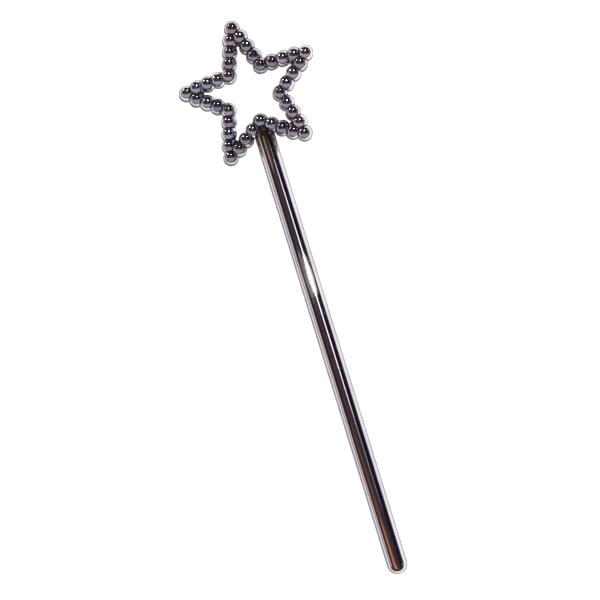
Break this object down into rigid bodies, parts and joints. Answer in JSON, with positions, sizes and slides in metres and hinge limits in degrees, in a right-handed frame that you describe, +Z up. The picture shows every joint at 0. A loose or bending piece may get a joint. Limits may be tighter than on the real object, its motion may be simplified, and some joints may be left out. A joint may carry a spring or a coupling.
{
  "type": "toy magic wand",
  "caption": "Child's star wand: a plain round rod, domed at both ends, carrying an open star outlined by a chain of round beads, all bright plated.",
  "frame": {"origin": "middle of the wand's bounding box, on the surface that the wand lies on", "axes": "+X across the wand, +Y along the rod towards the star, +Z up, out of the star's front face"},
  "size_m": [0.0802, 0.3202, 0.011],
  "materials": {
    "bright_plating": "mirror-bright silver plating, metallised over moulded plastic"
  },
  "bodies": {
    "root": {"star_front": "bright_plating", "star_back": "bright_plating", "rod_front": "bright_plating", "rod_back": "bright_plating"}
  },
  "joints": []
}
